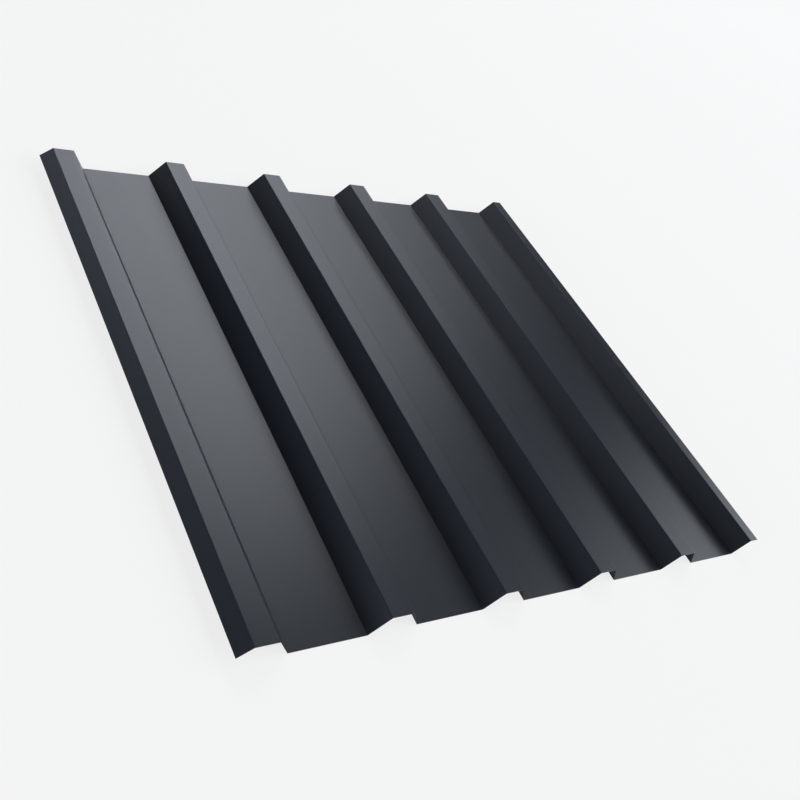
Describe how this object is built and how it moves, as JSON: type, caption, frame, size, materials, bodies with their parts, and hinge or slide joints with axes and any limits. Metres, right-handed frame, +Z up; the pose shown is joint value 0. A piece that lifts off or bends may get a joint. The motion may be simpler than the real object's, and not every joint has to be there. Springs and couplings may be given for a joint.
{
  "type": "trapezoidal metal sheet",
  "caption": "Thin coated steel sheet folded into parallel trapezoidal ribs with flat pans between them; its long edges lap over and under like sheets to clad roofs and walls.",
  "frame": {"origin": "middle of the plan outline at the underside of the pans, where the sheet lies on the floor", "axes": "+X across the ribs from the overlap edge to the underlap edge, +Y along the ribs, +Z up out of the weather face"},
  "size_m": [1.0756, 0.99, 0.0356],
  "materials": {
    "coated_steel": "semi-gloss coil coating, anthracite grey"
  },
  "bodies": {
    "root": {"trapezoidal_sheet": "coated_steel"}
  },
  "joints": []
}
